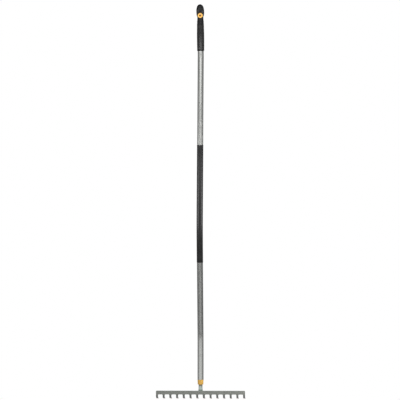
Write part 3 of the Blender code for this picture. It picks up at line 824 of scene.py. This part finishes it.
# rake head: one plate with its tines bent back
head = {
    "tines": 14,
    "pitch": 0.0281,
    "rootWidth": 0.0084,
    "tipWidth": 0.0070,
    "bendRadius": 0.0140,
    "bend": math.radians(84),
    "reach": 0.044,
    "tipRounding": 0.0024,
    "tipTurn": math.radians(72),
    "tipThickness": 0.0024,
    "fillet": 0.0040,
    "barHeight": 0.0157,
    "corner": 0.0030,
    "cornerSteps": 6,
    "plate": 0.0040,
    "edge": 0.0009,
    "edgeSteps": 3,
    "edgeAngle": math.radians(50),      # edges sharper than this are rounded
    "sharpAngle": 40,
    "filletRows": 6,
    "bendRows": 12,
    "reachRows": 3,
    "tipRows": 5,
}


def platePoint(x, length):
    values, radius = head, head["bendRadius"]
    past = length - values["barHeight"]
    y = -tang["palmThickness"] / 2 - shaft["gap"] - values["plate"] / 2
    z = barTop - min(length, values["barHeight"])
    if past > 0:
        turn = min(past / radius, values["bend"])
        straight = past - turn * radius
        y += radius * (1 - math.cos(turn)) + straight * math.sin(turn)
        z -= radius * math.sin(turn) + straight * math.cos(turn)
    return lowerEnd + Vector((x, y, z))


def tineRows():
    # (length, half width, fillet, share of the plate's thickness)
    values, bar, fillet = head, head["barHeight"], head["fillet"]
    bendEnd = bar + values["bend"] * values["bendRadius"]
    tip = bendEnd + values["reach"]
    tipStart = tip - values["tipRounding"]

    def halfWidth(length):
        share = (length - bar) / (tip - bar)
        return mix(values["rootWidth"], values["tipWidth"], share) / 2

    def thickness(length):
        share = max(0.0, (length - bendEnd) / values["reach"])
        return mix(1.0, values["tipThickness"] / values["plate"], share)

    rows = []
    for step in range(values["filletRows"] + 1):
        turn = math.pi / 2 * step / values["filletRows"]
        length = bar + fillet * (1 - math.cos(turn))
        rows.append((length, halfWidth(length), fillet * (1 - math.sin(turn)), 1.0))
    for step in range(1, values["bendRows"] + 1):
        length = mix(bar + fillet, bendEnd, step / values["bendRows"])
        rows.append((length, halfWidth(length), 0.0, 1.0))
    for step in range(1, values["reachRows"] + 1):
        length = mix(bendEnd, tipStart, step / (values["reachRows"] + 1))
        rows.append((length, halfWidth(length), 0.0, thickness(length)))
    for step in range(values["tipRows"]):
        turn = values["tipTurn"] * step / (values["tipRows"] - 1)
        length = tipStart + values["tipRounding"] * math.sin(turn)
        rows.append((length, halfWidth(length) * math.cos(turn), 0.0, thickness(length)))
    return rows


def makeHead():
    values = head
    bm = bmesh.new()
    shares = bm.verts.layers.deform.verify()
    root = (values["rootWidth"] / 2, values["fillet"], 1.0)
    barRows = [(0.0, *root), (values["barHeight"] / 2, *root)]
    corners, lastRight = [], None
    for index in range(values["tines"]):
        x = (index - (values["tines"] - 1) / 2) * values["pitch"]
        hasLeft, hasRight = index > 0, index < values["tines"] - 1
        rows = []
        for length, half, fillet, share in barRows + tineRows():
            row = []
            for offset in (-half - fillet * hasLeft, 0.0, half + fillet * hasRight):
                vertex = bm.verts.new(platePoint(x + offset, length))
                vertex[shares][0] = share
                row.append(vertex)
            rows.append(row)
        for upper, lower in zip(rows, rows[1:]):
            for column in (0, 1):
                bm.faces.new((upper[column], lower[column], lower[column + 1], upper[column + 1]))
        inBar = rows[:len(barRows) + 1]
        if lastRight:
            left = [row[0] for row in inBar]
            for step in range(len(barRows)):
                bm.faces.new((lastRight[step], lastRight[step + 1], left[step + 1], left[step]))
        lastRight = [row[2] for row in inBar]
        if not hasLeft:
            corners.append(rows[0][0])
        if not hasRight:
            corners.append(rows[0][2])
    bmesh.ops.bevel(
        bm, geom=corners, offset=values["corner"], segments=values["cornerSteps"], profile=0.5,
        affect="VERTICES")
    piece = meshPiece("rakeHead", bm)
    piece.vertex_groups.new(name="plate share")
    solid = piece.modifiers.new("plate", "SOLIDIFY")
    solid.thickness = values["plate"]
    solid.offset = 0.0
    solid.vertex_group = "plate share"
    rounding = piece.modifiers.new("rounded edges", "BEVEL")
    rounding.limit_method = "ANGLE"
    rounding.angle_limit = values["edgeAngle"]
    rounding.width = values["edge"]
    rounding.segments = values["edgeSteps"]
    rounding.loop_slide = False
    rounding.material = 1       # a second slot tells the rounded faces apart until they are marked
    piece.data.materials.append(headMaterial)
    piece.data.materials.append(headMaterial)
    bakeModifiers(piece, values["sharpAngle"])
    edgeFace = piece.data.attributes.new("edgeFace", "FLOAT", "FACE")
    rounded = [float(face.material_index == 1) for face in piece.data.polygons]
    edgeFace.data.foreach_set("value", rounded)
    for face in piece.data.polygons:
        face.material_index = 0
    piece.data.materials.clear()
    place(piece, "rake_head", headMaterial)


# end knob and the eyelet in its hole
knob = {
    "skirtRadius": 0.0139,
    "skirtHeight": 0.0115,
    "step": 0.0006,
    "neckRadius": 0.01245,
    "neckHeight": 0.0310,
    "neckTaper": 1.6,
    "neckFlatness": 0.80,
    "neckSquareness": 3.0,
    "headRadius": 0.01635,
    "headRise": 0.0205,
    "headFlatness": 0.86,
    "headSquareness": 2.4,
    "domeLength": 0.0355,
    "domePower": 2.4,
    "domeTip": 1 / 12,      # radius of the last ring, as a share of the head's
    "spigotLength": 0.038,
    "spigotWall": 0.0030,
    "holeHeight": 0.0395,
    "sides": 128,
    "neckRings": 14,
    "shoulderRings": 18,
    "domeRings": 26,
}
holeStation = tubeLength + knob["holeHeight"]


def knobLevels():
    values, gap = knob, shaft["gap"]
    spigot = shaft["tubeRadius"] - shaft["tubeWall"] - gap
    bore, end = spigot - values["spigotWall"], -values["spigotLength"]
    skirt, step, skirtTop = values["skirtRadius"], values["step"], values["skirtHeight"]
    shoulder = values["neckHeight"] + values["headRise"]
    levels = roundLevels(
        [(bore, -values["spigotWall"]), (bore, end), (spigot, end), (spigot, gap)]
        + arc(skirt - step, gap + step, step, -90, 0, steps=5)
        + arc(skirt - step, skirtTop - step, step, 0, 80, steps=5))
    for index in range(values["neckRings"] + 1):
        share = index / values["neckRings"]
        height = mix(skirtTop + step, values["neckHeight"], share)
        width = mix(skirt - step, values["neckRadius"], 1 - (1 - share) ** values["neckTaper"])
        flat = mix(1.0, values["neckFlatness"], eased(share))
        power = mix(roundPower, values["neckSquareness"], eased(share))
        levels.append((height, width, width * flat, power))
    for index in range(1, values["shoulderRings"] + 1):
        share = index / values["shoulderRings"]
        turn = math.pi / 2 * index / values["shoulderRings"]
        height = values["neckHeight"] + values["headRise"] * (1 - math.cos(turn))
        width = mix(values["neckRadius"], values["headRadius"], math.sin(turn))
        flat = mix(values["neckFlatness"], values["headFlatness"], math.sin(turn))
        power = mix(values["neckSquareness"], values["headSquareness"], share)
        levels.append((height, width, width * flat, power))
    for index in range(1, values["domeRings"]):
        turn = math.pi / 2 * index / values["domeRings"]
        rise = values["domeLength"] * math.sin(turn) ** (2 / values["domePower"])
        width = values["headRadius"] * math.cos(turn) ** (2 / values["domePower"])
        power = mix(values["headSquareness"], roundPower, index / values["domeRings"])
        levels.append((shoulder + rise, width, width * values["headFlatness"], power))
    last = values["headRadius"] * values["domeTip"]
    levels.append((
        shoulder + values["domeLength"], last, last * values["headFlatness"], roundPower))
    return levels


def holeMatrix(side):
    point, lean = pathAt(holeStation)
    outwards = backAt(lean) * side
    matrix = Matrix((xAxis, outwards.cross(xAxis), outwards)).transposed().to_4x4()
    matrix.translation = point
    return matrix


def bothSides(name, half):
    # a turned tool across the hole, from the back half of its profile
    profile = [(width, -height) for width, height in reversed(half)] + half
    return meshPiece(name, revolve(profile, holeMatrix(1), eyelet["sides"]))


def makeKnob():
    rings = [
        shaftRing(tubeLength + height, width, depth, power, knob["sides"])
        for height, width, depth, power in knobLevels()]
    piece = meshPiece("endKnob", loft(rings))
    gap, seat, edge = shaft["gap"], eyelet["seat"], eyelet["bossEdge"]
    boss = bothSides("bossTool", arc(
        eyelet["bossRadius"] - edge, seat + eyelet["bossRise"] - edge, edge, 0, 90, steps=4))
    bore = eyelet["bore"] + eyelet["wall"] + gap
    flange = eyelet["flangeRadius"] + gap
    face = seat + gap + eyelet["flange"]
    outside = 2 * knob["headRadius"]        # the cut widens outwards from the flange's face
    cutter = bothSides("seatTool", [
        (bore, seat), (flange, seat), (flange, face), (flange + outside - face, outside)])
    boolean(piece, boss, "UNION")
    boolean(piece, cutter, "DIFFERENCE")
    bakeModifiers(piece)
    for tool in (boss, cutter):
        bpy.data.objects.remove(tool, do_unlink=True)
    onShaft(piece, lambda index: holeStation)
    place(piece, "end_knob", knobMaterial)


eyelet = {
    "bore": 0.0052,
    "wall": 0.0012,
    "flangeRadius": 0.0104,
    "flange": 0.0014,
    "seat": 0.0108,
    "bossRadius": 0.0121,
    "bossRise": 0.0013,
    "bossEdge": 0.0003,
    "sides": 96,
}


def makeEyelet(name, nodeName, side):
    values = eyelet
    bore, flange = values["bore"], values["flangeRadius"]
    low = shaft["gap"] / 2
    seat = values["seat"] + shaft["gap"]
    tube = bore + values["wall"]
    rounding = values["flange"] / 2
    middle = seat + values["flange"] - rounding
    profile = [(tube, low), (tube, seat), (flange, seat)]
    profile += arc(flange - rounding, middle, rounding, 0, 90, steps=8)
    profile += arc(bore + rounding, middle, rounding, 90, 180, steps=8) + [(bore, low)]
    turned = revolve(profile, holeMatrix(side), values["sides"], hollow=True)
    place(meshPiece(name, turned), nodeName, eyeletPaintedLightMaterial)


makeTube()
makeMiddleGrip()
makeTopGrip()
makeCollar()
makeTang()
makeRivet()
makeWeld("tangWeldLeft", "tang_weld_left", -1)
makeWeld("tangWeldRight", "tang_weld_right", 1)
makeHead()
makeKnob()
makeEyelet("eyeletFront", "eyelet_front", -1)
makeEyelet("eyeletBack", "eyelet_back", 1)
for nodeName, material in (("knob_pin", zincMaterial), ("tang_bush", innerMaterial)):
    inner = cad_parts[nodeName]
    inner.data.materials.clear()
    inner.data.materials.append(material)
print("pieces made")

# floor, light and camera
studio = {
    "floorDrop": 0.10,      # below the tines: the rake hangs
    "floorRadius": 0.9,
    "floorSides": 96,
    "floorPale": srgb(249, 249, 248),
    "floorDark": srgb(244, 244, 243),
    "floorMarks": {"Scale": 3.0, "Threshold": 0.5, "Softness": 0.4},
    "floorShown": 0.8,      # how far shiny pieces see the floor as plain white paper
    "ambient": 0.32,
    "paper": 1.0,           # brightness of the white paper round the rake
}
mirrored = {                # what shiny pieces show of the room
    "front": [              # sine of the height looked at, brightness there
        (-0.90, 0.8), (-0.60, 1.2), (-0.46, 1.5), (-0.39, 0.9), (-0.35, 0.05), (-0.28, 0.10),
        (-0.20, 0.15), (-0.07, 1.4), (0.06, 1.1), (0.18, 0.26), (0.60, 0.38)],
    "sides": [
        (-0.90, 0.1), (-0.26, 0.08), (-0.17, 0.4), (-0.05, 0.6), (0.06, 0.3), (0.14, 0.6),
        (0.30, 0.38), (0.60, 0.2)],
    "frontRange": (-0.3, -0.9),     # Y of the direction looked at, as the front takes over
    "behindRange": (-0.1, 0.4),     # and as the room behind the rake does
    "behind": 0.3,                  # share of the sides' brightness there
    "paperRange": (0.93, 1.0),      # and as the paper straight behind does
}
softPanel = {"height": 0.55, "distance": 2.9, "size": (2.2, 2.6), "glossy": False, "aim": 0.0}
sideStrip = {"height": 0.05, "distance": 0.9, "size": (0.56, 0.42), "glossy": True, "aim": 0.0}
lamps = {                   # turn from the camera in degrees, power in watts
    "softLeft": {**softPanel, "turn": -40, "power": 34.0},
    "softRight": {**softPanel, "turn": 40, "power": 52.0},
    "softBack": {**softPanel, "turn": 180, "power": 44.0},
    "highFront": {
        "turn": 0, "height": 1.24, "distance": 1.6, "size": (2.2, 0.75), "glossy": True,
        "aim": 0.6, "power": 8.0},
    "stripLeft": {**sideStrip, "turn": -64, "power": 4.0},
    "stripRight": {**sideStrip, "turn": 64, "power": 3.4},
    "lowRight": {
        "turn": 54, "height": -0.66, "distance": 0.62, "size": (0.3, 0.3), "glossy": False,
        "aim": -0.8, "power": 1.5},
    "nearFront": {
        "turn": 0, "height": 0.28, "distance": 0.8, "size": (1.2, 0.12), "glossy": True,
        "aim": 0.4, "power": 1.2},
}
lampTarget = lowerEnd + zAxis * 0.77    # the lamps' heights and aims are measured from here
shot = {
    "azimuth": 3.0,
    "distance": 16.0,
    "frameWidth": 1.676,
    "centre": (-0.0023, 0, 0.7527),     # from the tube's lower end
    "sensor": 36.0,
    "clipEnd": 60.0,
}


def makeFloor():
    bm = bmesh.new()
    bmesh.ops.create_circle(
        bm, cap_ends=True, segments=studio["floorSides"], radius=studio["floorRadius"])
    floor = meshPiece("floor", bm)
    floor.location = (0, 0, cadBox[0].z - studio["floorDrop"])
    material, tree, shader = newMaterial("paleFloor", Roughness=0.9)
    marks = useGroup(
        tree, smudgeGroup, (-700, 200), objectCoords(tree), studio["floorMarks"])["Mask"]
    colour = twoColours(tree, (-400, 200), marks, studio["floorDark"], studio["floorPale"])
    tree.links.new(colour, shader.inputs["Base Color"])
    glossy = node(tree, "ShaderNodeLightPath", (-400, 500)).outputs["Is Glossy Ray"]
    shown = calculate(tree, (-150, 450), "MULTIPLY", glossy, studio["floorShown"])
    paper = node(tree, "ShaderNodeEmission", (0, -250), {"Strength": studio["paper"]})
    both = node(tree, "ShaderNodeMixShader", (300, 200), {
        0: shown, 1: shader.outputs[0], 2: paper.outputs[0]})
    tree.links.new(both.outputs[0], tree.nodes["Material Output"].inputs["Surface"])
    floor.data.materials.append(material)


def heightRamp(tree, at, height, pairs):
    # brightness by height, from a list of (sine of the height, brightness)
    ramp = node(tree, "ShaderNodeValToRGB", at, {"Fac": height})
    stops = ramp.color_ramp.elements
    for sine, brightness in pairs:
        stop = stops.new((sine + 1) / 2)
        stop.color = (brightness, brightness, brightness, 1)
    stops.remove(stops[0])
    stops.remove(stops[-1])
    return ramp.outputs[0]


def makeWorld():
    values = mirrored
    world = bpy.data.worlds.new("studio")
    bpy.context.scene.world = world
    world.use_nodes = True
    tree = world.node_tree
    tree.nodes.clear()
    rays = node(tree, "ShaderNodeLightPath", (-900, 400)).outputs
    direction = node(tree, "ShaderNodeTexCoord", (-1500, -200)).outputs["Generated"]
    axes = node(tree, "ShaderNodeSeparateXYZ", (-1300, -200), {0: direction}).outputs
    height = remap(tree, (-1100, -300), axes["Z"], (-1.0, 1.0))
    front = heightRamp(tree, (-900, -350), height, values["front"])
    sides = heightRamp(tree, (-900, -650), height, values["sides"])
    ahead = remap(tree, (-900, -50), axes["Y"], values["frontRange"])
    share = remap(tree, (-900, -900), axes["Y"], values["behindRange"], (1.0, values["behind"]))
    beside = calculate(tree, (-700, -700), "MULTIPLY", sides, share)
    room = blend(tree, (-650, -200), ahead, beside, front)
    straight = remap(tree, (-900, 200), axes["Y"], values["paperRange"])
    shown = blend(tree, (-450, -100), straight, room, studio["paper"])
    lit = blend(tree, (-200, 0), rays["Is Glossy Ray"], studio["ambient"], shown)
    direct = calculate(
        tree, (-250, 300), "MAXIMUM", rays["Is Camera Ray"], rays["Is Transmission Ray"])
    strength = blend(tree, (50, 100), direct, lit, studio["paper"])
    light = node(tree, "ShaderNodeBackground", (300, 0), {
        "Color": (1, 1, 1, 1), "Strength": strength})
    out = node(tree, "ShaderNodeOutputWorld", (600, 0))
    tree.links.new(light.outputs[0], out.inputs["Surface"])


def towardsCamera(turn):
    # level direction from the rake, turned from the camera's by some degrees
    angle = math.radians(shot["azimuth"] + turn)
    return Vector((math.sin(angle), -math.cos(angle), 0))


def lookAlong(direction):
    return direction.to_track_quat("-Z", "Y").to_euler()


def makeLamp(name, values):
    data = bpy.data.lights.new(name, "AREA")
    data.shape = "RECTANGLE"
    data.size, data.size_y = values["size"]
    data.energy = values["power"]
    lamp = bpy.data.objects.new(name, data)
    bpy.context.scene.collection.objects.link(lamp)
    level = towardsCamera(values["turn"]) * values["distance"]
    lamp.location = lampTarget + level + zAxis * values["height"]
    lamp.rotation_euler = lookAlong(lampTarget + zAxis * values["aim"] - lamp.location)
    lamp.visible_camera = False
    lamp.visible_glossy = values["glossy"]


def makeCamera():
    scene = bpy.context.scene
    data = bpy.data.cameras.new("camera")
    camera = bpy.data.objects.new("camera", data)
    scene.collection.objects.link(camera)
    direction = towardsCamera(0)
    camera.location = lowerEnd + Vector(shot["centre"]) + direction * shot["distance"]
    camera.rotation_euler = lookAlong(-direction)
    data.sensor_width = shot["sensor"]
    data.lens = shot["sensor"] * shot["distance"] / shot["frameWidth"]
    data.clip_end = shot["clipEnd"]
    scene.camera = camera
    scene.view_settings.view_transform = "Standard"


makeFloor()
makeWorld()
for lampName, lampValues in lamps.items():
    makeLamp(lampName, lampValues)
makeCamera()
print("studio made")
